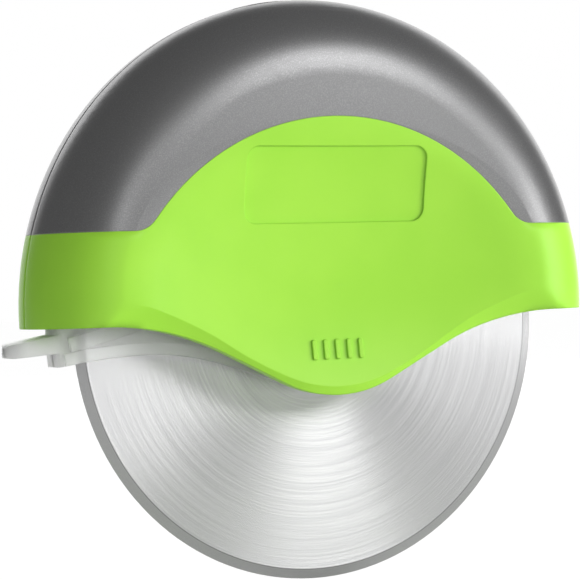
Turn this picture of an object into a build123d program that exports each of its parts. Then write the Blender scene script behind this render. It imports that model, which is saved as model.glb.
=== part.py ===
from build123d import *
from math import atan2, cos, degrees, hypot, radians, sin, tan
import os

# Palm-held pizza cutter: a large steel wheel turns on an axle between two arched
# handle halves. A guard folds up into the handle, and swings down over the edge.
# The front half opens upwards on a hinge at the crest, so the wheel lifts out.
#
# Frame: origin at the wheel's centre, +X to the right of the front, +Y to the rear,
# +Z up. "Depth" below is the distance in front of the wheel's middle plane, along -Y.
# All lengths are in millimetres and all angles in degrees.

# Driving dimensions of the wheel
BLADE_DIAMETER = 96.0
BLADE_THICKNESS = 1.0
BEVEL_WIDTH = 1.8
EDGE_LAND = 0.1
HUB_DIAMETER = 26.0
HUB_FLANGE_THICKNESS = 1.4
HUB_EDGE_CHAMFER = 0.4
RIVET_COUNT = 3
RIVET_CIRCLE_DIAMETER = 19.0
RIVET_DIAMETER = 2.4
RIVET_HEAD_DIAMETER = 3.8
RIVET_HEAD_HEIGHT = 0.22
BUSH_WALL = 1.45
BUSH_OVERHANG = 0.3

# Driving dimensions of the axle and what holds it
AXLE_DIAMETER = 7.0
AXLE_SEAT_DEPTH = 2.4
AXLE_TIP_CHAMFER = 0.5
AXLE_TIP_GAP = 0.4
SCREW_DIAMETER = 3.0
SCREW_THREAD_LENGTH = 2.2
SCREW_HEAD_DIAMETER = 5.2
SCREW_HEAD_HEIGHT = 1.8
SCREW_HEAD_SINK = 2.5
SCREW_DRIVE_SIDES = 6
SCREW_DRIVE_DIAMETER = 2.2
SCREW_DRIVE_DEPTH = 1.0
WASHER_DIAMETER = 12.6
WASHER_THICKNESS = 0.75
BOSS_DIAMETER = 14.0
COVER_BOSS_GAP = 0.4
CATCH_RING_WALL = 1.1
CATCH_RING_THICKNESS = 0.8
CATCH_SEAT_DEPTH = 0.6
CATCH_RETAINER_GAP = 0.275

# Driving dimensions of the guard
GUARD_EDGE_GAP = 2.1
GUARD_RIM_WALL = 2.1
CHEEK_GAP = 0.4
CHEEK_THICKNESS = 1.2
GUARD_CORNER_RADIUS = 1.0
COLLAR_WALL = 2.6
COLLAR_HEIGHT = 1.8
GUARD_HUB_RADIUS = 13.2
GUARD_START_ANGLE = 3.0
GUARD_EDGE_LEAN = 19.5
GUARD_EDGE_RUN = 15.5
GUARD_INNER_SWEEP = 50.0
GUARD_OUTER_SWEEP = 85.0
BEAD_HEIGHT = 2.2
BEAD_PROUD = 0.6
ARM_WIDTH = 2.6
ARM_PROUD = 0.7
ARM_DROP = 2.0
ARM_LEAN = 10.5
ARM_SWEEP = 110.0
ARM_TURN = 16.0
TAB_LENGTH = 8.9
TAB_TOP_DROP = 0.2
TAB_BOTTOM_DROP = 3.5
TAB_TOP_LEAN = 10.0
TAB_BOTTOM_LEAN = 4.0
TAB_SIDE_STEP = 0.1
TAB_TIP_RADIUS = 1.1
PEG_COUNT = 3
PEG_DIAMETER = 1.2
PEG_LENGTH = 4.0

# Driving dimensions of the handle
HANDLE_RISE = 3.5
HANDLE_GAP = 2.0
WALL = 2.6
GRIP_THICKNESS = 1.2
COLLAR_GAP = 0.9
RIM_FLAT = 0.9
PARTING_CHAMFER = 0.3
SHOULDER_WIDTH = 15.0
SHOULDER_FULLNESS_SHARE = 0.6
DISH_DEPTH = 4.6
DISH_REACH = 32.0
DISH_SIDE_REACH = 46.5
DISH_RISE = 7.0
DISH_HOLLOW_SHARE = 0.8
DISH_CROSSING = 0.05
LIP_DROP = 13.25
SIDE_EDGE_RISE = 0.95
LIP_SLOPE = 26.9
NOSE_RADIUS = 24.0
FLANK_RADIUS = 51.7
LIP_EDGE_DEPTH = 10.2
LIP_EDGE_WIDTH = 2.5
LIP_FLANGE_HEIGHT = 3.0
CHAMFER_LEAN = 71.0
CHAMFER_FADE_RADIUS = 20.0
GRIP_SEAM_RISE = 17.55
ARCH_TOP = 37.8
ARCH_RADIUS = 46.0
SEAM_CORNER_RADIUS = 5.0
PLATE_WIDTH = 37.0
PLATE_HEIGHT = 13.9
PLATE_RISE = 25.4
PLATE_CORNER_RADIUS = 2.4
PLATE_SINK = 0.35
THUMB_RIB_COUNT = 5
THUMB_RIB_WIDTH = 0.9
THUMB_RIB_HEIGHT = 3.6
THUMB_RIB_CORNER_RADIUS = 0.3
THUMB_RIB_PITCH = 2.4
THUMB_RIB_DROP = 4.8
THUMB_RIB_PROUD = 0.35

# Driving dimensions of the hinge at the crest
HINGE_DROP = 2.0
HINGE_SPAN = 30.6
KNUCKLE_LENGTH = 11.0
BARREL_RADIUS = 2.3
HINGE_PIN_DIAMETER = 1.4
HINGE_PIN_LENGTH = 23.6
HINGE_SIDE_GAP = 0.3
HINGE_GROOVE_GAP = 0.3
HINGE_NOTCH_MARGIN = 0.8
HINGE_WEB_LENGTH = 6.0

# Clearances
RUNNING_GAP = 0.05
END_PLAY = 0.05

# Sizes that follow from the driving dimensions
blade_radius = BLADE_DIAMETER / 2
axle_radius = AXLE_DIAMETER / 2
bush_bore_radius = axle_radius + RUNNING_GAP
bush_radius = bush_bore_radius + BUSH_WALL
blade_face = BLADE_THICKNESS / 2
hub_face = blade_face + HUB_FLANGE_THICKNESS
bush_end = hub_face + BUSH_OVERHANG
washer_start = bush_end + END_PLAY
washer_end = washer_start + WASHER_THICKNESS
boss_tip = washer_end + END_PLAY
boss_radius = BOSS_DIAMETER / 2
guard_bore_radius = boss_radius + RUNNING_GAP
cover_boss_radius = guard_bore_radius - COVER_BOSS_GAP
cheek_inner = hub_face + CHEEK_GAP
cheek_outer = cheek_inner + CHEEK_THICKNESS
collar_radius = guard_bore_radius + COLLAR_WALL
collar_end = cheek_outer + COLLAR_HEIGHT
guard_rim_inner = blade_radius + GUARD_EDGE_GAP
guard_radius = guard_rim_inner + GUARD_RIM_WALL
handle_radius = hypot(guard_radius, HANDLE_RISE) + HANDLE_GAP + WALL
handle_crest = HANDLE_RISE + handle_radius
dish_floor = collar_end + COLLAR_GAP + WALL
half_depth = dish_floor + DISH_DEPTH
lip_curve_rise = (NOSE_RADIUS + FLANK_RADIUS) * (1 - cos(radians(LIP_SLOPE)))
lip_run = (LIP_DROP + SIDE_EDGE_RISE - lip_curve_rise) / sin(radians(LIP_SLOPE))
axle_seat = boss_tip + AXLE_SEAT_DEPTH
cover_socket_floor = dish_floor - WALL
axle_tip = cover_socket_floor - AXLE_TIP_GAP
catch_inner_radius = axle_radius + RUNNING_GAP
catch_outer_radius = catch_inner_radius + CATCH_RING_WALL
catch_front = axle_tip - CATCH_SEAT_DEPTH
catch_back = catch_front - CATCH_RING_THICKNESS
hinge_z = handle_crest - HINGE_DROP
hinge_end = HINGE_SPAN / 2
knuckle_end = KNUCKLE_LENGTH / 2
groove_radius = BARREL_RADIUS + HINGE_GROOVE_GAP
pin_radius = HINGE_PIN_DIAMETER / 2
pin_end = HINGE_PIN_LENGTH / 2
overrun = 2 * handle_radius


def prism(face, near, far):
    """Solid of a face drawn on the X-Z plane, between two depths."""
    return extrude(Plane.XZ.offset(near) * face, amount=far - near)


def disc(radius, near, far):
    """Round solid about the axle's line, between two depths."""
    return prism(Circle(radius), near, far)


def ring(outer, inner, near, far):
    """Round solid with a bore, about the axle's line, between two depths."""
    return prism(Circle(outer) - Circle(inner), near, far)


def turned(points):
    """Solid turned about the axle's line from an outline of (radius, depth) points."""
    outline = [(radius, -depth) for radius, depth in points]
    return revolve(make_face(Polyline(*outline, close=True)), Axis.Y)


def around(radius, angle):
    """Point on a circle about the axle's line, as seen from the front."""
    return (radius * cos(radians(angle)), radius * sin(radians(angle)))


def to_rear(shape):
    """The same shape on the rear side of the wheel."""
    return mirror(shape, about=Plane.XZ)


def barrel(start, end, radius):
    """Round bar along the hinge line, from one place along X to another."""
    section = Pos(0, hinge_z) * Circle(radius)
    return extrude(Plane.YZ.offset(start) * section, amount=end - start)


def block(x_from, x_to, y_from, y_to, z_from, z_to):
    """Plain block between pairs of planes."""
    middle = Pos((x_from + x_to) / 2, (y_from + y_to) / 2, (z_from + z_to) / 2)
    return middle * Box(x_to - x_from, y_to - y_from, z_to - z_from)


# Wheel: blade, hub flanges, rivets and bush
def rivet_places():
    """Places of the rivets round the hub, seen from the front."""
    return [around(RIVET_CIRCLE_DIAMETER / 2, 90 + 360 * turn / RIVET_COUNT) for turn in range(RIVET_COUNT)]


def rivet_set(radius, near, far):
    """One round solid at each rivet's place."""
    circles = [Pos(x, z) * Circle(radius) for x, z in rivet_places()]
    return prism(Sketch() + circles, near, far)


def make_blade():
    """Steel disc with a ground bevel on both sides of its edge."""
    bevel_start = blade_radius - BEVEL_WIDTH
    outline = [
        (bush_radius, -blade_face),
        (bevel_start, -blade_face),
        (blade_radius, -EDGE_LAND / 2),
        (blade_radius, EDGE_LAND / 2),
        (bevel_start, blade_face),
        (bush_radius, blade_face),
    ]
    return turned(outline) - rivet_set(RIVET_DIAMETER / 2, -overrun, overrun)


def make_hub_front():
    """Flange that clamps the blade from the front."""
    edge = HUB_DIAMETER / 2
    outline = [
        (bush_radius, blade_face),
        (edge, blade_face),
        (edge, hub_face - HUB_EDGE_CHAMFER),
        (edge - HUB_EDGE_CHAMFER, hub_face),
        (bush_radius, hub_face),
    ]
    return turned(outline) - rivet_set(RIVET_DIAMETER / 2, -overrun, overrun)


def make_hub_rivets():
    """Rivets through both flanges and the blade, with low heads on both sides."""
    shanks = rivet_set(RIVET_DIAMETER / 2, -hub_face, hub_face)
    heads = rivet_set(RIVET_HEAD_DIAMETER / 2, hub_face, hub_face + RIVET_HEAD_HEIGHT)
    return shanks + heads + to_rear(heads)


def make_wheel_bush():
    """Plain bearing sleeve in the middle of the wheel."""
    return ring(bush_radius, bush_bore_radius, -bush_end, bush_end)


# Axle: sleeve, screw and thrust washers
def make_axle():
    """Steel sleeve seated in the rear boss, with a sunk seat for its screw."""
    outline = [
        (SCREW_DIAMETER / 2, -axle_seat),
        (axle_radius, -axle_seat),
        (axle_radius, axle_tip - AXLE_TIP_CHAMFER),
        (axle_radius - AXLE_TIP_CHAMFER, axle_tip),
        (SCREW_HEAD_DIAMETER / 2, axle_tip),
        (SCREW_HEAD_DIAMETER / 2, axle_tip - SCREW_HEAD_SINK),
        (SCREW_DIAMETER / 2, axle_tip - SCREW_HEAD_SINK),
    ]
    return turned(outline)


def make_axle_screw():
    """Screw through the axle into the rear boss, with a six-sided drive."""
    head_seat = axle_tip - SCREW_HEAD_SINK
    head_top = head_seat + SCREW_HEAD_HEIGHT
    shank = disc(SCREW_DIAMETER / 2, -axle_seat - SCREW_THREAD_LENGTH, head_seat)
    head = disc(SCREW_HEAD_DIAMETER / 2, head_seat, head_top)
    socket = RegularPolygon(SCREW_DRIVE_DIAMETER / 2, SCREW_DRIVE_SIDES)
    drive = prism(socket, head_top - SCREW_DRIVE_DEPTH, head_top)
    return shank + head - drive


def make_thrust_washer():
    """Front washer between the wheel's bush and the boss."""
    return ring(WASHER_DIAMETER / 2, bush_bore_radius, washer_start, washer_end)


# Guard: two cheeks that meet along a shared rim
def guard_region(raised):
    """Face of the folded guard's side, with its lower edge moved up by some height."""
    hub = GUARD_HUB_RADIUS - raised
    tangent_angle = 270 - GUARD_EDGE_LEAN
    hub_arc = CenterArc((0, 0), hub, tangent_angle, 360 + GUARD_START_ANGLE - tangent_angle)
    start_line = Line(hub_arc @ 1, around(overrun, GUARD_START_ANGLE))
    corner_right = Line(start_line @ 1, (overrun, overrun))
    top = Line(corner_right @ 1, (-overrun, overrun))
    run = PolarLine(hub_arc @ 0, GUARD_EDGE_RUN, 180 - GUARD_EDGE_LEAN)
    rise = JernArc(run @ 1, run % 1, GUARD_INNER_SWEEP + raised, GUARD_EDGE_LEAN)
    fall = JernArc(rise @ 1, rise % 1, GUARD_OUTER_SWEEP + raised, GUARD_EDGE_LEAN)
    corner_left = Line(top @ 1, (-overrun, (fall @ 1).Y))
    closing = Line(corner_left @ 1, fall @ 1)
    return make_face([hub_arc, start_line, corner_right, top, corner_left, closing, fall, rise, run])


def make_tab(near, far):
    """Thumb tab of the guard: a flat tongue with a round end, between two depths."""
    root = guard_rim_inner
    step = guard_radius - root
    tip = guard_radius + TAB_LENGTH
    top_fall = tan(radians(TAB_TOP_LEAN))
    bottom_fall = tan(radians(TAB_BOTTOM_LEAN))
    side = Polyline(
        (-root, step * top_fall - TAB_TOP_DROP),
        (-root, step * bottom_fall - TAB_BOTTOM_DROP),
        (-tip, -TAB_BOTTOM_DROP - TAB_LENGTH * bottom_fall),
        (-tip, -TAB_TOP_DROP - TAB_LENGTH * top_fall),
        close=True,
    )
    half_width = cheek_outer - TAB_SIDE_STEP
    outline = make_face(side)
    tip_corners = outline.vertices().filter_by_position(Axis.X, -overrun, -guard_radius)
    tongue = prism(fillet(tip_corners, TAB_TIP_RADIUS), near, far)
    round_centre = tip - half_width
    plan = Pos(-round_centre, 0) * Circle(half_width)
    plan += Pos(-round_centre / 2, 0) * Rectangle(round_centre, 2 * half_width)
    return tongue & extrude(plan, amount=overrun, both=True)


def peg_set():
    """Pegs that join the two halves of the guard, set in the rim."""
    middle = (guard_rim_inner + guard_radius) / 2
    step = 180 / (PEG_COUNT + 1)
    places = [around(middle, step * (turn + 1)) for turn in range(PEG_COUNT)]
    circles = [Pos(x, z) * Circle(PEG_DIAMETER / 2) for x, z in places]
    return prism(Sketch() + circles, -PEG_LENGTH / 2, PEG_LENGTH / 2)


def guard_shell():
    """Turned cheek with its collar and half of the rim, rounded where they meet."""
    round_start = cheek_outer - GUARD_CORNER_RADIUS
    inner = Polyline(
        (collar_radius, -cheek_outer),
        (collar_radius, -collar_end),
        (guard_bore_radius, -collar_end),
        (guard_bore_radius, -cheek_inner),
        (guard_rim_inner, -cheek_inner),
        (guard_rim_inner, 0),
        (guard_radius, 0),
        (guard_radius, -round_start),
    )
    corner = JernArc(inner @ 1, (0, -1), GUARD_CORNER_RADIUS, -90)
    outer = Line(corner @ 1, inner @ 0)
    return revolve(make_face([inner, corner, outer]), Axis.Y)


def make_guard_front():
    """Front half of the guard: cheek, half rim, collar, edge bead, arm and half tab."""
    whole = guard_region(0) & Circle(guard_radius - GUARD_CORNER_RADIUS)
    body = guard_shell() & prism(guard_region(0), 0, collar_end)
    body += ring(collar_radius, guard_bore_radius, cheek_inner, collar_end)
    body += prism(whole - guard_region(BEAD_HEIGHT), cheek_inner, cheek_outer + BEAD_PROUD)
    lean = (cos(radians(ARM_LEAN)), sin(radians(ARM_LEAN)))
    arm_line = JernArc((-guard_rim_inner, -ARM_DROP), lean, ARM_SWEEP, ARM_TURN)
    body += prism(trace(arm_line, line_width=ARM_WIDTH), cheek_inner, cheek_outer + ARM_PROUD)
    return body + make_tab(0, cheek_outer) - peg_set()


# Handle halves: a turned body with a dished face, cut below by the wave of the lip
def dish_tool(sink):
    """Solid in front of the dished face, with the face moved in by some depth."""
    floor = dish_floor - sink
    turn = degrees(2 * atan2(DISH_DEPTH + DISH_CROSSING, DISH_REACH))
    sweep = DISH_REACH / sin(radians(turn))
    front = half_depth + overrun
    hollow = JernArc((0, -floor), (1, 0), DISH_HOLLOW_SHARE * sweep, -turn)
    brow = JernArc(hollow @ 1, hollow % 1, (1 - DISH_HOLLOW_SHARE) * sweep, turn)
    side = Line(brow @ 1, (DISH_REACH, -front))
    lid = Line(side @ 1, (0, -front))
    axis_line = Line(lid @ 1, (0, -floor))
    bowl = revolve(make_face([hollow, brow, side, lid, axis_line]), Axis.Y)
    return Pos(0, 0, DISH_RISE) * scale(bowl, by=(DISH_SIDE_REACH / DISH_REACH, 1, 1))


def handle_body(inset, parting_chamfer):
    """Turned half of the handle, with its whole surface moved in by some depth."""
    radius = handle_radius - inset
    depth = half_depth - inset
    shoulder = handle_radius - SHOULDER_WIDTH
    fullness = SHOULDER_FULLNESS_SHARE
    foot = [
        Line((0, 0), (radius - parting_chamfer, 0)),
        Line((radius, -parting_chamfer), (radius, -RIM_FLAT)),
    ]
    if parting_chamfer:
        foot.append(Line((radius - parting_chamfer, 0), (radius, -parting_chamfer)))
    curve = Bezier(
        (radius, -RIM_FLAT),
        (radius, -RIM_FLAT - fullness * (depth - RIM_FLAT)),
        (shoulder + fullness * (radius - shoulder), -depth),
        (shoulder, -depth),
    )
    face_line = Polyline((shoulder, -depth), (0, -depth), (0, 0))
    body = Pos(0, 0, HANDLE_RISE) * revolve(make_face(foot + [curve, face_line]), Axis.Y)
    return body - dish_tool(inset)


def lip_region(raised):
    """Face above the wave of the handle's lower edge, moved up by some height."""
    nose = JernArc((0, raised - LIP_DROP), (1, 0), NOSE_RADIUS - raised, LIP_SLOPE)
    slope = PolarLine(nose @ 1, lip_run, LIP_SLOPE)
    flank = JernArc(slope @ 1, slope % 1, FLANK_RADIUS + raised, -LIP_SLOPE)
    edge = Line(flank @ 1, (overrun, (flank @ 1).Y))
    side = Line(edge @ 1, (overrun, overrun))
    right = [nose, slope, flank, edge, side]
    left = [mirror(line, about=Plane.YZ) for line in right]
    top = Line((-overrun, overrun), (overrun, overrun))
    return make_face(right + left + [top])


def grip_region():
    """Face of the gripped crown: above the straight seam and outside the arch."""
    crown_height = overrun - GRIP_SEAM_RISE
    crown = Pos(0, GRIP_SEAM_RISE + crown_height / 2) * Rectangle(2 * overrun, crown_height)
    crown -= Pos(0, ARCH_TOP - ARCH_RADIUS) * Circle(ARCH_RADIUS)
    corners = crown.vertices().filter_by_position(Axis.X, -ARCH_RADIUS, ARCH_RADIUS)
    return fillet(corners, SEAM_CORNER_RADIUS)


def lip_flange():
    """Thicker wall behind the lip, all along the lower edge."""
    face = lip_region(0) - lip_region(LIP_FLANGE_HEIGHT)
    return prism(face, LIP_EDGE_DEPTH - LIP_EDGE_WIDTH, half_depth) & handle_body(0, 0)


def chamfer_region(raised):
    """Face below the lip's chamfer, with its upper edge moved up by some height."""
    nose = JernArc((0, raised - LIP_DROP), (1, 0), NOSE_RADIUS - raised, LIP_SLOPE)
    slope = PolarLine(nose @ 1, lip_run, LIP_SLOPE)
    crest = JernArc(slope @ 1, slope % 1, CHAMFER_FADE_RADIUS + raised, -2 * LIP_SLOPE)
    fall = PolarLine(crest @ 1, overrun, -LIP_SLOPE)
    right = [nose, slope, crest, fall]
    left = [mirror(line, about=Plane.YZ) for line in right]
    floor = Line(left[-1] @ 1, fall @ 1)
    return make_face(right + left + [floor])


def lip_chamfer():
    """Wedge cut off the lip's front edge, which fades out towards the handle's sides."""
    far_depth = half_depth + DISH_CROSSING
    growth = (far_depth - LIP_EDGE_DEPTH) * tan(radians(CHAMFER_LEAN))
    near = Plane.XZ.offset(LIP_EDGE_DEPTH) * chamfer_region(0)
    far = Plane.XZ.offset(far_depth) * chamfer_region(growth)
    return loft([near, far], ruled=True)


def hinge_notch():
    """Room at the crest in which the hinge's knuckles lie."""
    reach = hinge_end + HINGE_SIDE_GAP
    width = groove_radius + HINGE_NOTCH_MARGIN
    groove = barrel(-reach, reach, groove_radius)
    return groove + block(-reach, reach, -width, width, hinge_z, overrun)


def knuckle(start, end, pin_hole_radius):
    """One knuckle of the front half with its web, trimmed to the handle's outline."""
    web_depth = groove_radius + HINGE_WEB_LENGTH
    outline = Pos(0, 0, HANDLE_RISE) * disc(handle_radius, -overrun, overrun)
    trimmed = barrel(start, end, BARREL_RADIUS) & outline
    web = block(start, end, -web_depth, 0, hinge_z - BARREL_RADIUS, hinge_z) & handle_body(0, 0)
    return trimmed + web - barrel(start, min(end, pin_end), pin_hole_radius)


def make_half():
    """Shell and grip of the front half, before its own bosses and marks."""
    outer = handle_body(0, PARTING_CHAMFER) & prism(lip_region(0), 0, overrun)
    crown = prism(grip_region(), 0, overrun)
    grip = (outer - handle_body(GRIP_THICKNESS, 0)) & crown
    shell = outer - handle_body(WALL, 0) - grip
    shell += lip_flange()
    shell -= lip_chamfer()
    notch = hinge_notch()
    return shell - notch, grip - notch


def make_rear_half():
    """Rear shell with the axle's boss, and rear grip with the outer knuckles."""
    shell, grip = make_half()
    boss = disc(boss_radius, boss_tip, dish_floor - WALL / 2)
    boss -= disc(axle_radius, boss_tip, axle_seat)
    boss -= disc(SCREW_DIAMETER / 2, axle_seat, axle_seat + SCREW_THREAD_LENGTH)
    shell += boss
    shell -= disc(SCREW_DIAMETER / 2, axle_seat, axle_seat + SCREW_THREAD_LENGTH)
    inner_end = knuckle_end + HINGE_SIDE_GAP
    right = knuckle(inner_end, hinge_end, pin_radius)
    knuckles = right + mirror(right, about=Plane.YZ)
    shell -= knuckles
    grip += knuckles
    return to_rear(shell), to_rear(grip)


def plate_recess():
    """Shallow recess on the dished face, with round corners."""
    face = Pos(0, PLATE_RISE) * RectangleRounded(PLATE_WIDTH, PLATE_HEIGHT, PLATE_CORNER_RADIUS)
    return prism(face, 0, half_depth) & dish_tool(PLATE_SINK)


def thumb_ribs():
    """Short upright ribs on the lip, where the thumb pulls the front half open."""
    first = -THUMB_RIB_PITCH * (THUMB_RIB_COUNT - 1) / 2
    bar = RectangleRounded(THUMB_RIB_WIDTH, THUMB_RIB_HEIGHT, THUMB_RIB_CORNER_RADIUS)
    bars = [Pos(first + THUMB_RIB_PITCH * turn, -THUMB_RIB_DROP) * bar for turn in range(THUMB_RIB_COUNT)]
    return (prism(Sketch() + bars, 0, half_depth) & dish_tool(WALL / 2)) - dish_tool(-THUMB_RIB_PROUD)


def make_front_half():
    """Front shell with the catch's socket, and front grip with the middle knuckle."""
    shell, grip = make_half()
    boss = disc(cover_boss_radius, boss_tip, dish_floor - WALL / 2)
    boss -= disc(catch_outer_radius, boss_tip, cover_socket_floor)
    shell += boss
    shell -= plate_recess()
    shell += thumb_ribs()
    middle = knuckle(-knuckle_end, knuckle_end, pin_radius + RUNNING_GAP)
    shell -= middle
    grip += middle
    return shell, grip


def make_catch_ring():
    """Ring that grips the axle's tip and holds the front half shut."""
    return ring(catch_outer_radius, catch_inner_radius, catch_back, catch_front)


def make_catch_retainer():
    """Collar pressed into the socket's mouth, which holds the catch ring in."""
    bore = catch_inner_radius + CATCH_RETAINER_GAP
    return ring(catch_outer_radius, bore, boss_tip, catch_back)


def make_hinge_pin():
    """Steel pin along the hinge line."""
    return barrel(-pin_end, pin_end, pin_radius)


def main():
    """Build every piece and write one STEP file for each."""
    rear_shell, rear_grip = make_rear_half()
    front_shell, front_grip = make_front_half()
    hub_front = make_hub_front()
    washer = make_thrust_washer()
    guard_front = make_guard_front()
    pieces = {
        "rear_shell": rear_shell,
        "rear_grip": rear_grip,
        "front_shell": front_shell,
        "front_grip": front_grip,
        "hinge_pin": make_hinge_pin(),
        "catch_ring": make_catch_ring(),
        "catch_retainer": make_catch_retainer(),
        "axle": make_axle(),
        "axle_screw": make_axle_screw(),
        "thrust_washer_front": washer,
        "thrust_washer_rear": to_rear(washer),
        "blade": make_blade(),
        "hub_front": hub_front,
        "hub_rear": to_rear(hub_front),
        "hub_rivets": make_hub_rivets(),
        "wheel_bush": make_wheel_bush(),
        "guard_front": guard_front,
        "guard_rear": to_rear(guard_front),
        "guard_pegs": peg_set(),
    }
    os.makedirs("parts", exist_ok=True)
    for name, shape in pieces.items():
        export_step(shape, f"parts/{name}.step")
        print(name, len(shape.solids()), round(shape.volume, 2))


if __name__ == "__main__":
    main()
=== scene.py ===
"""Looks of a palm-held pizza cutter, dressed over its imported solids."""

import logging
from dataclasses import dataclass, field
from enum import Enum
from math import cos, exp, radians, sin
from typing import Any

import bpy
from mathutils import Matrix, Vector

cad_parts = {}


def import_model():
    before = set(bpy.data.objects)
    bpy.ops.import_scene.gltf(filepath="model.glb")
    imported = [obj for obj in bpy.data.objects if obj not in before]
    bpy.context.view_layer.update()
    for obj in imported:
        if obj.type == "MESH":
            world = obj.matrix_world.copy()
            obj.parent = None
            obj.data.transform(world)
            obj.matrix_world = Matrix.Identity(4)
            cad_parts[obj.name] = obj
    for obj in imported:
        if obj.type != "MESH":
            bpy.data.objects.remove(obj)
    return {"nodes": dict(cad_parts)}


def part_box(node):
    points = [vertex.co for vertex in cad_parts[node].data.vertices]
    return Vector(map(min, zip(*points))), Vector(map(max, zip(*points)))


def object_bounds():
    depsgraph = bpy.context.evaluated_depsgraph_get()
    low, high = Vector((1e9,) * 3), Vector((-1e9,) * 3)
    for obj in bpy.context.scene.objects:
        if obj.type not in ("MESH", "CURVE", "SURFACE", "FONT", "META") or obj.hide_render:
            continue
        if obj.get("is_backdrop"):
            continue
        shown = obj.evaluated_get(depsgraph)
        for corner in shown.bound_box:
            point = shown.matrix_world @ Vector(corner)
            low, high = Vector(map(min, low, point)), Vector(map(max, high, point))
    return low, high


LOG = logging.getLogger("pizza_cutter")
MILLIMETRE = 0.001
WHITE = (1.0, 1.0, 1.0, 1.0)

Colour = tuple[float, float, float]
Limits = tuple[float, float]
Operand = "Signal | float"


class Reach(Enum):
    """What a lamp shows on."""

    MATT_AND_GLOSS = True
    MATT_ONLY = False


class Layers(Enum):
    """How many finer layers a noise has."""

    PLAIN = 1.0
    SOFT = 2.0
    FINE = 3.0


class Mixed(Enum):
    """What a Mix node mixes: its data type, then the places of its inputs and its result."""

    COLOUR = ("RGBA", 6, 7, 2)
    DIRECTION = ("VECTOR", 4, 5, 1)


@dataclass(frozen=True)
class Signal:
    """A shader socket that takes part in arithmetic with other sockets and numbers."""

    tree: bpy.types.NodeTree
    socket: bpy.types.NodeSocket

    def _maths(self, operation: str, *operands: Operand) -> "Signal":
        """Adds one Math node.

        Args:
            operation: the Math node's operation.
            operands: its inputs in order.

        Returns:
            The node's result.
        """
        node = self.tree.nodes.new("ShaderNodeMath")
        node.operation = operation
        for target, operand in zip(node.inputs, operands):
            feed(target, operand)
        return Signal(self.tree, node.outputs[0])

    def __add__(self, other: Operand) -> "Signal":
        """Sum."""
        return self._maths("ADD", self, other)

    def __radd__(self, other: float) -> "Signal":
        """Sum with a number on the left."""
        return self._maths("ADD", other, self)

    def __sub__(self, other: Operand) -> "Signal":
        """Difference."""
        return self._maths("SUBTRACT", self, other)

    def __rsub__(self, other: float) -> "Signal":
        """Difference from a number on the left."""
        return self._maths("SUBTRACT", other, self)

    def __mul__(self, other: Operand) -> "Signal":
        """Product."""
        return self._maths("MULTIPLY", self, other)

    def __rmul__(self, other: float) -> "Signal":
        """Product with a number on the left."""
        return self._maths("MULTIPLY", other, self)

    def __truediv__(self, other: Operand) -> "Signal":
        """Quotient."""
        return self._maths("DIVIDE", self, other)

    def largest(self, other: Operand) -> "Signal":
        """The larger of two values."""
        return self._maths("MAXIMUM", self, other)

    def angle_with(self, other: "Signal") -> "Signal":
        """Angle in radians of the point that is this high and as wide as the other."""
        return self._maths("ARCTAN2", self, other)

    def root(self) -> "Signal":
        """Square root."""
        return self._maths("SQRT", self)

    def size(self) -> "Signal":
        """Value without its sign."""
        return self._maths("ABSOLUTE", self)


def feed(target: bpy.types.NodeSocket, value: Any) -> None:
    """Gives an input its value.

    Args:
        target: the input.
        value: a Signal to link, or a plain value to set.
    """
    if isinstance(value, Signal):
        value.tree.links.new(value.socket, target)
    else:
        target.default_value = value


def scaled(colour: Colour, share: float) -> Colour:
    """A colour times a number."""
    return tuple(share * channel for channel in colour)


def swung(middle: float, swing: float, noise: Signal) -> Signal:
    """Number that swings about its middle as a noise goes from 0 to 1."""
    return middle - 0.5 * swing + swing * noise


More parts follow.
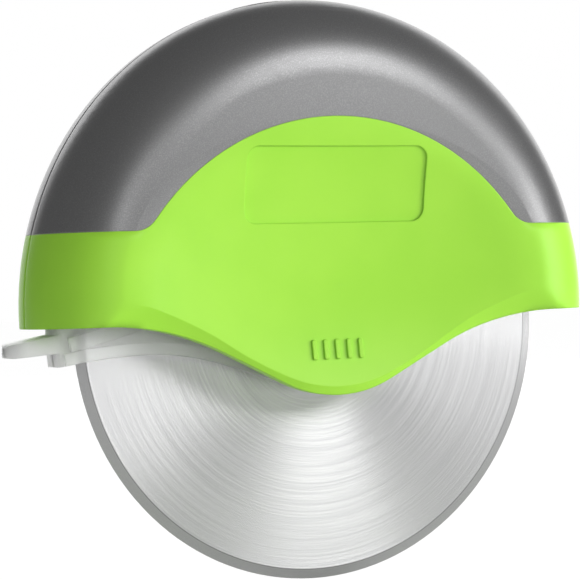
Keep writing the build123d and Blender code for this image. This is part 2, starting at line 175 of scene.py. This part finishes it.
class ShaderSheet:
    """A material's or the world's node tree, with short ways to add nodes to it."""

    def __init__(self, tree: bpy.types.NodeTree) -> None:
        """Empties the tree, so that only what is added here is in it."""
        self.tree = tree
        tree.nodes.clear()

    def node(
        self, kind: str, settings: dict[str, Any] | None = None, **sockets: Any
    ) -> bpy.types.Node:
        """Adds any node.

        Args:
            kind: the node's type without its ShaderNode prefix.
            settings: properties that are set before the sockets, such as an operation.
            sockets: a value or a Signal for each input, by name with underscores for spaces.

        Returns:
            The new node.
        """
        made = self.tree.nodes.new("ShaderNode" + kind)
        for name, value in (settings or {}).items():
            setattr(made, name, value)
        for name, value in sockets.items():
            feed(made.inputs[name.replace("_", " ")], value)
        return made

    def signal(
        self, kind: str, output: str, settings: dict[str, Any] | None = None, **sockets: Any
    ) -> Signal:
        """Adds any node and returns one of its outputs, by name."""
        return Signal(self.tree, self.node(kind, settings, **sockets).outputs[output])

    def place(self) -> Signal:
        """The surface point in the object's own coordinates, in metres."""
        return self.signal("TexCoord", "Object")

    def parts(self, vector: Signal) -> tuple[Signal, Signal, Signal]:
        """X, Y and Z of a vector."""
        made = self.node("SeparateXYZ", None, Vector=vector)
        return tuple(Signal(self.tree, output) for output in made.outputs)

    def joined(self, **axes: Signal) -> Signal:
        """Vector from signals for some of X, Y and Z."""
        return self.signal("CombineXYZ", "Vector", None, **axes)

    def spoke(self) -> tuple[Signal, Signal, Signal]:
        """Where the surface point is about the wheel's axis: X, Z and the distance from it."""
        x, _, z = self.parts(self.place())
        return x, z, (x * x + z * z).root()

    def noise(self, size: float, layers: Layers, vector: Signal | None = None) -> Signal:
        """Soft noise from 0 to 1.

        Args:
            size: size of its features, in metres or in the vector's own unit.
            layers: how many finer layers it has.
            vector: where it is read, or the object's coordinates.

        Returns:
            The noise.
        """
        return self.signal(
            "TexNoise",
            "Fac",
            None,
            Vector=vector or self.place(),
            Scale=1 / size,
            Detail=layers.value,
        )

    def span(
        self, value: Signal, low: float, high: float, to_low: float = 0.0, to_high: float = 1.0
    ) -> Signal:
        """Maps a range of a signal to another range, with soft ends.

        Args:
            value: the signal.
            low: start of its range.
            high: end of its range.
            to_low: what the start becomes.
            to_high: what the end becomes.

        Returns:
            The mapped signal.
        """
        ends = {"From Min": low, "From Max": high, "To Min": to_low, "To Max": to_high}
        made = self.node("MapRange", {"interpolation_type": "SMOOTHSTEP"}, Value=value)
        for name, number in ends.items():
            made.inputs[name].default_value = number
        return Signal(self.tree, made.outputs["Result"])

    def mix(
        self, mixed: Mixed, factor: Signal, first: Signal | Colour, second: Signal | Colour
    ) -> Signal:
        """Colour or direction between two others.

        Args:
            mixed: what is mixed.
            factor: 0 for the first one, 1 for the second one.
            first: a signal, or a fixed colour.
            second: a signal, or a fixed colour.

        Returns:
            The mixed signal.
        """
        data_type, first_place, second_place, result_place = mixed.value
        made = self.node("Mix", {"data_type": data_type})
        feed(made.inputs[0], factor)
        for place, value in ((first_place, first), (second_place, second)):
            feed(made.inputs[place], value if isinstance(value, Signal) else (*value, 1.0))
        return Signal(self.tree, made.outputs[result_place])

    def relief(self, height: Signal, strength: float, distance: float, under: Signal) -> Signal:
        """A normal with a relief from 0 to 1 over it, the distance in metres."""
        sockets = {"Height": height, "Strength": strength, "Distance": distance, "Normal": under}
        return self.signal("Bump", "Normal", None, **sockets)

    def tilted(self, direction: Signal, amount: Signal) -> Signal:
        """Surface normal tilted along a direction.

        Args:
            direction: where it leans, in the object's own coordinates.
            amount: tangent of the lean.

        Returns:
            The normal.
        """
        turn = {"vector_type": "VECTOR", "convert_from": "OBJECT", "convert_to": "WORLD"}
        turned = self.signal("VectorTransform", "Vector", turn, Vector=direction)
        scale = {"operation": "SCALE"}
        lean = self.signal("VectorMath", "Vector", scale, Vector=turned, Scale=amount)
        total = self.node("VectorMath", {"operation": "ADD"})
        feed(total.inputs[0], self.signal("NewGeometry", "Normal"))
        feed(total.inputs[1], lean)
        leaning = Signal(self.tree, total.outputs["Vector"])
        return self.signal("VectorMath", "Vector", {"operation": "NORMALIZE"}, Vector=leaning)

    def soft_edges(self, radius: float, samples: int = 4) -> Signal:
        """Normal that rounds sharp edges off by a radius in metres."""
        return self.signal("Bevel", "Normal", {"samples": samples}, Radius=radius)

    def principled(self, **sockets: Any) -> Signal:
        """Principled surface."""
        return self.signal("BsdfPrincipled", "BSDF", None, **sockets)

    def layered(self, share: Operand, under: Signal, over: Signal) -> Signal:
        """One shader mixed over another.

        Args:
            share: how much of the upper one shows, from 0 to 1.
            under: the lower shader.
            over: the upper shader.

        Returns:
            The mixed shader.
        """
        made = self.node("MixShader", None, Fac=share)
        feed(made.inputs[1], under)
        feed(made.inputs[2], over)
        return Signal(self.tree, made.outputs[0])

    def shares(self, shaders: list[Signal], shares: list[float]) -> Signal:
        """Mixes several shaders.

        Args:
            shaders: the shaders.
            shares: how much of each, on any scale.

        Returns:
            The mixed shader.
        """
        mixed, total = shaders[0], shares[0]
        for shader, share in zip(shaders[1:], shares[1:]):
            total += share
            mixed = self.layered(share / total, mixed, shader)
        return mixed

    def rays(self, kind: str) -> Signal:
        """1 for light paths of a kind, such as Camera, and 0 for all others."""
        return self.signal("LightPath", f"Is {kind} Ray")

    def seen(self) -> Signal:
        """1 for what the camera sees, also through the clear guard, and 0 for the rest."""
        return self.rays("Camera").largest(self.rays("Transmission"))

    def close(self, shader: Signal, output: str = "OutputMaterial") -> None:
        """Links a shader to the tree's output."""
        self.node(output, None, Surface=shader)


@dataclass(frozen=True)
class Finish:
    """A named finish. Each kind draws its own nodes."""

    name: str

    def build(self) -> bpy.types.Material:
        """Makes the Blender material.

        Returns:
            The material.
        """
        material = bpy.data.materials.new(self.name)
        material.use_nodes = True
        self.draw(ShaderSheet(material.node_tree))
        return material

    def draw(self, sheet: ShaderSheet) -> None:
        """Adds the finish's nodes to a sheet."""
        raise NotImplementedError


@dataclass(frozen=True)
class MouldedPlastic(Finish):
    """Opaque moulded plastic with a fine satin texture and slight flow marks."""

    colour: Colour
    deep_colour: Colour
    roughness: float = 0.36
    roughness_swing: float = 0.1
    flow_size: float = 18 * MILLIMETRE
    flow_limits: Limits = (0.3, 0.7)
    grain_size: float = 0.3 * MILLIMETRE
    grain_height: float = 0.003 * MILLIMETRE
    edge_radius: float = 0.35 * MILLIMETRE

    def draw(self, sheet: ShaderSheet) -> None:
        """Draws flow marks in the colour and grain in the roughness and the normal.

        Args:
            sheet: the sheet to draw on.
        """
        flow = sheet.span(sheet.noise(self.flow_size, Layers.SOFT), *self.flow_limits)
        grain = sheet.noise(self.grain_size, Layers.FINE)
        surface = sheet.principled(
            Base_Color=sheet.mix(Mixed.COLOUR, flow, self.colour, self.deep_colour),
            Roughness=swung(self.roughness, self.roughness_swing, grain),
            Normal=sheet.relief(grain, 1.0, self.grain_height, self.edges(sheet)),
        )
        sheet.close(surface)

    def edges(self, sheet: ShaderSheet) -> Signal:
        """Normal with small rounded edges."""
        return sheet.soft_edges(self.edge_radius)


@dataclass(frozen=True)
class ShellPlastic(MouldedPlastic):
    """Plastic of the shells, whose dished face runs smoothly into the handle's ends."""

    blend_start: float = 38 * MILLIMETRE
    blend_end: float = 50 * MILLIMETRE
    blend_fade: float = 3 * MILLIMETRE
    blend_radius: float = 3 * MILLIMETRE
    blend_samples: int = 8

    def edges(self, sheet: ShaderSheet) -> Signal:
        """Normal with small rounded edges, and with a wide one where the dish ends.

        Args:
            sheet: the sheet to draw on.

        Returns:
            The normal.
        """
        x, _, _ = sheet.parts(sheet.place())
        across = x.size()
        inner_end = self.blend_start + self.blend_fade
        outer_start = self.blend_end - self.blend_fade
        rising = sheet.span(across, self.blend_start, inner_end)
        falling = sheet.span(across, outer_start, self.blend_end, 1.0, 0.0)
        small = sheet.soft_edges(self.edge_radius)
        wide = sheet.soft_edges(self.blend_radius, self.blend_samples)
        return sheet.mix(Mixed.DIRECTION, rising * falling, small, wide)


@dataclass(frozen=True)
class SoftTouchGrip(Finish):
    """Grey soft-touch coat with a fine metallic grain."""

    colour: Colour
    spot_colour: Colour
    roughness: float = 0.35
    spot_gloss: float = 0.05
    metallic: float = 0.82
    spot_metallic: float = 0.15
    spot_limits: Limits = (0.48, 0.66)
    grain_size: float = 0.16 * MILLIMETRE
    grain_height: float = 0.003 * MILLIMETRE
    edge_radius: float = 0.3 * MILLIMETRE

    def draw(self, sheet: ShaderSheet) -> None:
        """Draws the grain as small bright and tilted spots over a smooth grey.

        Args:
            sheet: the sheet to draw on.
        """
        grain = sheet.noise(self.grain_size, Layers.SOFT)
        spots = sheet.span(grain, *self.spot_limits)
        edges = sheet.soft_edges(self.edge_radius)
        surface = sheet.principled(
            Base_Color=sheet.mix(Mixed.COLOUR, spots, self.colour, self.spot_colour),
            Metallic=self.metallic + self.spot_metallic * spots,
            Roughness=self.roughness - self.spot_gloss * spots,
            Normal=sheet.relief(grain, 1.0, self.grain_height, edges),
        )
        sheet.close(surface)


@dataclass(frozen=True)
class BrushedDisc(Finish):
    """Steel brushed in circles about the wheel's axis, with a sharpened bevel at its edge whose
    colour is painted darker as painted shade.

    The walls of the fine grooves lean inwards or outwards by many slopes. Each slope is a
    surface of its own, and their mixture spreads a lamp's reflection into a radial fan.
    """

    colour: Colour
    shade_colour: Colour
    blade_radius: float
    bevel_width: float = 1.8 * MILLIMETRE
    # Painted shade: the bevel's colour is the steel's times this share, darker than the disc to
    # stand in for shade on the bevel.
    bevel_shade_share: float = 0.62
    line_width: float = 0.14 * MILLIMETRE
    line_share: float = 0.42
    roughness: float = 0.21
    roughness_swing: float = 0.04
    groove_pitch: float = 0.25 * MILLIMETRE
    lean_step: float = 0.07
    lean_steps: int = 6
    lean_spread: float = 0.25
    lean_swing: float = 0.24
    ring_pitch: float = 0.3 * MILLIMETRE
    ring_limits: Limits = (0.25, 0.75)

    def draw(self, sheet: ShaderSheet) -> None:
        """Draws the grooves as leaning surfaces, the rings' tone and the bevel's painted shade.

        Args:
            sheet: the sheet to draw on.
        """
        x, z, radius = sheet.spoke()
        turn = z.angle_with(x)
        grooves = self.rings(sheet, radius, turn, self.groove_pitch, Layers.PLAIN)
        streaks = self.rings(sheet, radius, turn, self.ring_pitch, Layers.FINE)
        outwards = sheet.joined(X=x / radius, Z=z / radius)
        colour = self.tone(sheet, radius, streaks)
        roughness = swung(self.roughness, self.roughness_swing, streaks)
        uneven = swung(1.0, self.lean_swing, grooves)
        walls = [
            sheet.principled(
                Base_Color=colour,
                Metallic=1.0,
                Roughness=roughness,
                Normal=sheet.tilted(outwards, lean * uneven),
            )
            for lean in self.leans()
        ]
        sheet.close(sheet.shares(walls, [self.share(lean) for lean in self.leans()]))

    def rings(
        self, sheet: ShaderSheet, radius: Signal, turn: Signal, pitch: float, layers: Layers
    ) -> Signal:
        """Noise in rings about the wheel's axis, the pitch in metres."""
        return sheet.noise(1.0, layers, sheet.joined(X=radius / pitch, Y=turn))

    def tone(self, sheet: ShaderSheet, radius: Signal, streaks: Signal) -> Signal:
        """Colour of the streaked disc, the bevel darkened as painted shade, and the line where
        the bevel starts.

        Args:
            sheet: the sheet to draw on.
            radius: distance from the axis.
            streaks: the rings' noise.

        Returns:
            The colour.
        """
        rings = sheet.span(streaks, *self.ring_limits)
        disc = sheet.mix(Mixed.COLOUR, rings, self.shade_colour, self.colour)
        start = self.blade_radius - self.bevel_width
        bevel = sheet.span(radius, start, start + self.line_width)
        # Painted shade: the bevel gets a darker steel colour that stands in for the shade on it.
        painted_shade_bevel = sheet.mix(Mixed.COLOUR, bevel, disc, scaled(self.colour, self.bevel_shade_share))
        off_line = (radius - start).size()
        line = sheet.span(off_line, 0.5 * self.line_width, self.line_width, 1.0, 0.0)
        return sheet.mix(Mixed.COLOUR, line, painted_shade_bevel, scaled(self.colour, self.line_share))

    def leans(self) -> list[float]:
        """Slopes of the groove walls, from one side to the other."""
        return [step * self.lean_step for step in range(-self.lean_steps, self.lean_steps + 1)]

    def share(self, lean: float) -> float:
        """Share of the surface whose grooves have a slope."""
        return exp(-0.5 * (lean / self.lean_spread) ** 2)


@dataclass(frozen=True)
class TurnedSteel(Finish):
    """Plain turned steel of small parts."""

    colour: Colour
    roughness: float = 0.28
    tarnish_roughness: float = 0.12
    tarnish_size: float = 4 * MILLIMETRE
    tarnish_limits: Limits = (0.35, 0.7)
    tarnish_share: float = 0.8
    mark_size: float = 0.15 * MILLIMETRE
    mark_height: float = 0.003 * MILLIMETRE
    mark_strength: float = 0.6
    edge_radius: float = 0.1 * MILLIMETRE

    def draw(self, sheet: ShaderSheet) -> None:
        """Draws fine tool marks and slight tarnish.

        Args:
            sheet: the sheet to draw on.
        """
        marks = sheet.noise(self.mark_size, Layers.FINE)
        tarnish = sheet.span(sheet.noise(self.tarnish_size, Layers.SOFT), *self.tarnish_limits)
        dull = scaled(self.colour, self.tarnish_share)
        edges = sheet.soft_edges(self.edge_radius)
        surface = sheet.principled(
            Base_Color=sheet.mix(Mixed.COLOUR, tarnish, self.colour, dull),
            Metallic=1.0,
            Roughness=self.roughness + self.tarnish_roughness * tarnish,
            Normal=sheet.relief(marks, self.mark_strength, self.mark_height, edges),
        )
        sheet.close(surface)


@dataclass(frozen=True)
class FrostedPlastic(Finish):
    """Frosted plastic, clear where it is thin and milky in the tab outside the blade."""

    colour: Colour
    thin_radius: float
    roughness: float = 0.3
    roughness_swing: float = 0.1
    clearness: float = 0.75
    light_bending: float = 1.3
    light_path: float = 6 * MILLIMETRE
    fade: float = 1.5 * MILLIMETRE
    frost_size: float = 0.4 * MILLIMETRE
    frost_height: float = 0.003 * MILLIMETRE
    cloud_size: float = 7 * MILLIMETRE
    cloud_limits: Limits = (0.3, 0.7)
    cloud_share: float = 0.97
    edge_radius: float = 0.3 * MILLIMETRE

    def draw(self, sheet: ShaderSheet) -> None:
        """Draws a slight frost over a clear body that turns milky outwards.

        Args:
            sheet: the sheet to draw on.
        """
        frost = sheet.noise(self.frost_size, Layers.FINE)
        cloud = sheet.span(sheet.noise(self.cloud_size, Layers.SOFT), *self.cloud_limits)
        cool = scaled(self.colour, self.cloud_share)
        edges = sheet.soft_edges(self.edge_radius)
        skin = {
            "Base_Color": sheet.mix(Mixed.COLOUR, cloud, self.colour, cool),
            "Roughness": swung(self.roughness, self.roughness_swing, frost),
            "Normal": sheet.relief(frost, 1.0, self.frost_height, edges),
        }
        clear = sheet.principled(
            Transmission_Weight=self.clearness, IOR=self.light_bending, **skin
        )
        milky = sheet.principled(
            Subsurface_Weight=1.0,
            Subsurface_Radius=(1.0, 1.0, 1.0),
            Subsurface_Scale=self.light_path,
            **skin,
        )
        _, _, radius = sheet.spoke()
        outside = sheet.span(radius, self.thin_radius, self.thin_radius + self.fade)
        sheet.close(sheet.layered(outside, clear, milky))


@dataclass(frozen=True)
class Shot:
    """Camera that sees the cutter as the photograph does."""

    turn: float = 26.265
    rise: float = 0.289
    roll: float = 1.873
    distance: float = 389.74 * MILLIMETRE
    target: tuple[float, float, float] = (-4.607 * MILLIMETRE, 0.0, 6.278 * MILLIMETRE)
    lens: float = 129.27
    sensor_width: float = 36.0
    nearest: float = 10 * MILLIMETRE
    furthest: float = 100.0

    def axes(self) -> tuple[Vector, Vector, Vector]:
        """Directions of the camera in the frame.

        Returns:
            Right, up and backward.
        """
        turn, rise, roll = radians(self.turn), radians(self.rise), radians(self.roll)
        back = Vector((-sin(turn) * cos(rise), -cos(turn) * cos(rise), sin(rise)))
        level = Vector((cos(turn), -sin(turn), 0.0))
        upright = level.cross(-back)
        right = cos(roll) * level - sin(roll) * upright
        up = sin(roll) * level + cos(roll) * upright
        return right, up, back

    def build(self) -> None:
        """Makes the camera and sets it as the scene's."""
        data = bpy.data.cameras.new("camera")
        data.lens = self.lens
        data.sensor_width = self.sensor_width
        data.clip_start = self.nearest
        data.clip_end = self.furthest
        camera = bpy.data.objects.new("camera", data)
        bpy.context.scene.collection.objects.link(camera)
        right, up, back = self.axes()
        turned = Matrix((right, up, back)).transposed().to_4x4()
        moved = Matrix.Translation(Vector(self.target) + self.distance * back)
        camera.matrix_world = moved @ turned
        bpy.context.scene.camera = camera


@dataclass(frozen=True)
class Softbox:
    """One rectangular lamp, placed by its angles about the camera's line of sight."""

    name: str
    across: float
    above: float
    width: float
    height: float
    power: float
    reach: Reach = Reach.MATT_AND_GLOSS
    distance: float = 0.9

    def build(self, shot: Shot) -> None:
        """Makes the lamp, turned towards the cutter.

        Args:
            shot: the camera that the angles start from.
        """
        right, up, back = shot.axes()
        across, above = radians(self.across), radians(self.above)
        level = right * sin(across) + back * cos(across)
        towards = level * cos(above) + up * sin(above)
        data = bpy.data.lights.new(self.name, "AREA")
        data.shape = "RECTANGLE"
        data.size = self.width
        data.size_y = self.height
        data.energy = self.power
        lamp = bpy.data.objects.new(self.name, data)
        bpy.context.scene.collection.objects.link(lamp)
        lamp.visible_camera = False
        lamp.visible_glossy = self.reach.value
        lamp.location = Vector(shot.target) + self.distance * towards
        lamp.rotation_euler = towards.to_track_quat("Z", "Y").to_euler()


@dataclass
class Studio:
    """Pale floor, white surroundings, lamps and camera."""

    shot: Shot = field(default_factory=Shot)
    room_level: float = 0.32
    mirror_level: float = 0.17
    floor_size: float = 6.0
    floor_tone: float = 0.9
    floor_glow: float = 1.2
    floor_glow_share: float = 0.77
    softboxes: tuple[Softbox, ...] = (
        Softbox("upright_softbox", across=55, above=23, width=0.3, height=0.3, power=1.2),
        Softbox("right_softbox", across=80, above=6, width=0.22, height=0.22, power=0.78),
        Softbox("front_softbox", across=25, above=11, width=0.22, height=0.22, power=0.3),
        Softbox("backdrop_softbox", across=180, above=12, width=1.7, height=1.1, power=8.0),
        Softbox(
            "fill_softbox",
            across=88,
            above=12,
            width=0.5,
            height=0.5,
            power=6.6,
            reach=Reach.MATT_ONLY,
        ),
    )

    def build(self, floor_height: float) -> None:
        """Makes everything that isn't the object.

        Args:
            floor_height: height of the floor in the frame.
        """
        self.surroundings()
        self.floor(floor_height)
        for softbox in self.softboxes:
            softbox.build(self.shot)
        self.shot.build()

    def surroundings(self) -> None:
        """White world for the camera, and a dimmer one that lights the object."""
        world = bpy.data.worlds.new("studio")
        bpy.context.scene.world = world
        world.use_nodes = True
        sheet = ShaderSheet(world.node_tree)
        mirrored = (self.mirror_level - self.room_level) * sheet.rays("Glossy")
        strength = (self.room_level + mirrored).largest(sheet.seen())
        shown = sheet.signal("Background", "Background", None, Color=WHITE, Strength=strength)
        sheet.close(shown, "OutputWorld")

    def floor(self, height: float) -> None:
        """Plain pale floor that keeps a soft shadow.

        Args:
            height: its height in the frame.
        """
        bpy.ops.mesh.primitive_plane_add(size=self.floor_size, location=(0.0, 0.0, height))
        plane = bpy.context.object
        plane.name = "floor"
        material = bpy.data.materials.new("pale_floor")
        material.use_nodes = True
        sheet = ShaderSheet(material.node_tree)
        tone = (self.floor_tone, self.floor_tone, self.floor_tone, 1.0)
        matt = sheet.signal("BsdfDiffuse", "BSDF", None, Color=tone)
        glow = sheet.signal("Emission", "Emission", None, Strength=self.floor_glow)
        sheet.close(sheet.layered(sheet.seen() * self.floor_glow_share, matt, glow))
        plane.data.materials.append(material)
        plane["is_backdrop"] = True


@dataclass
class SubAssembly:
    """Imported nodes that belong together, with the finishes they get."""

    nodes: dict[str, bpy.types.Object]
    dressed: dict[str, str] = field(default_factory=dict)

    def dress(self) -> None:
        """Gives every node of the sub-assembly its finish."""
        raise NotImplementedError

    def coat(self, finish: Finish, *names: str) -> None:
        """Assigns one finish to several nodes.

        Args:
            finish: the finish to build.
            names: the nodes that get it.
        """
        material = finish.build()
        for name in names:
            self.nodes[name].data.materials.clear()
            self.nodes[name].data.materials.append(material)
            self.dressed[name] = finish.name


@dataclass
class Handle(SubAssembly):
    """The two handle halves with the hinge and the catch between them."""

    green: Colour = (0.385, 0.8, 0.05)
    deep_green: Colour = (0.355, 0.77, 0.042)
    grey: Colour = (0.29, 0.29, 0.293)
    pale_grey: Colour = (0.38, 0.38, 0.384)
    pin_steel: Colour = (0.72, 0.72, 0.73)
    pin_roughness: float = 0.2
    black: Colour = (0.02, 0.02, 0.02)
    deep_black: Colour = (0.03, 0.03, 0.03)
    seal_roughness: float = 0.6

    def dress(self) -> None:
        """Dresses the green shells, the grey crowns, the hinge pin and the catch."""
        green_plastic = ShellPlastic("green_plastic", self.green, self.deep_green)
        self.coat(green_plastic, "front_shell", "rear_shell")
        grip = SoftTouchGrip("soft_touch_grey", self.grey, self.pale_grey)
        self.coat(grip, "front_grip", "rear_grip")
        pin = TurnedSteel("bright_pin_steel", self.pin_steel, self.pin_roughness)
        self.coat(pin, "hinge_pin")
        seal = MouldedPlastic("seal_rubber", self.black, self.deep_black, self.seal_roughness)
        self.coat(seal, "catch_ring")


@dataclass
class Wheel(SubAssembly):
    """The brushed blade with its hub."""

    steel: Colour = (0.87, 0.87, 0.875)
    shaded_steel: Colour = (0.7, 0.7, 0.71)
    hub_steel: Colour = (0.66, 0.66, 0.67)

    def dress(self) -> None:
        """Dresses the blade and the hub's flanges and rivets."""
        blade_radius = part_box("blade")[1].x
        brushed = BrushedDisc("brushed_blade", self.steel, self.shaded_steel, blade_radius)
        self.coat(brushed, "blade")
        satin = TurnedSteel("satin_steel", self.hub_steel)
        self.coat(satin, "hub_front", "hub_rear", "hub_rivets")


@dataclass
class AxleSet(SubAssembly):
    """The axle and its screw, with the plastic bearings that run on it."""

    axle_steel: Colour = (0.72, 0.72, 0.73)
    axle_roughness: float = 0.2
    bearing_white: Colour = (0.82, 0.82, 0.79)
    deep_white: Colour = (0.78, 0.78, 0.75)

    def dress(self) -> None:
        """Dresses the steel and the bearing pieces."""
        steel = TurnedSteel("bright_steel", self.axle_steel, self.axle_roughness)
        self.coat(steel, "axle", "axle_screw")
        bearing = MouldedPlastic("bearing_plastic", self.bearing_white, self.deep_white)
        self.coat(
            bearing, "thrust_washer_front", "thrust_washer_rear", "wheel_bush", "catch_retainer"
        )


@dataclass
class Guard(SubAssembly):
    """The translucent blade guard."""

    frost_white: Colour = (0.99, 0.99, 0.99)

    def dress(self) -> None:
        """Dresses both halves and their pegs."""
        blade_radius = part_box("blade")[1].x
        frosted = FrostedPlastic("frosted_guard", self.frost_white, blade_radius)
        self.coat(frosted, "guard_front", "guard_rear", "guard_pegs")


def corners(box: tuple[Vector, Vector]) -> list[list[float]]:
    """A box as plain lists of numbers."""
    return [[float(value) for value in corner] for corner in box]


def main() -> None:
    """Loads the frame, dresses the cutter and builds the studio round it."""
    logging.basicConfig(level=logging.INFO)
    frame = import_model()
    packed_box = corners(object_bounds())
    bpy.context.scene.view_settings.view_transform = "Standard"
    for kind in (Handle, Wheel, AxleSet, Guard):
        sub_assembly = kind(frame["nodes"])
        sub_assembly.dress()
        for name, finish in sub_assembly.dressed.items():
            LOG.info("%s: %s gets %s", kind.__name__, name, finish)
    Studio().build(floor_height=packed_box[0][2])


if __name__ == "__main__":
    main()
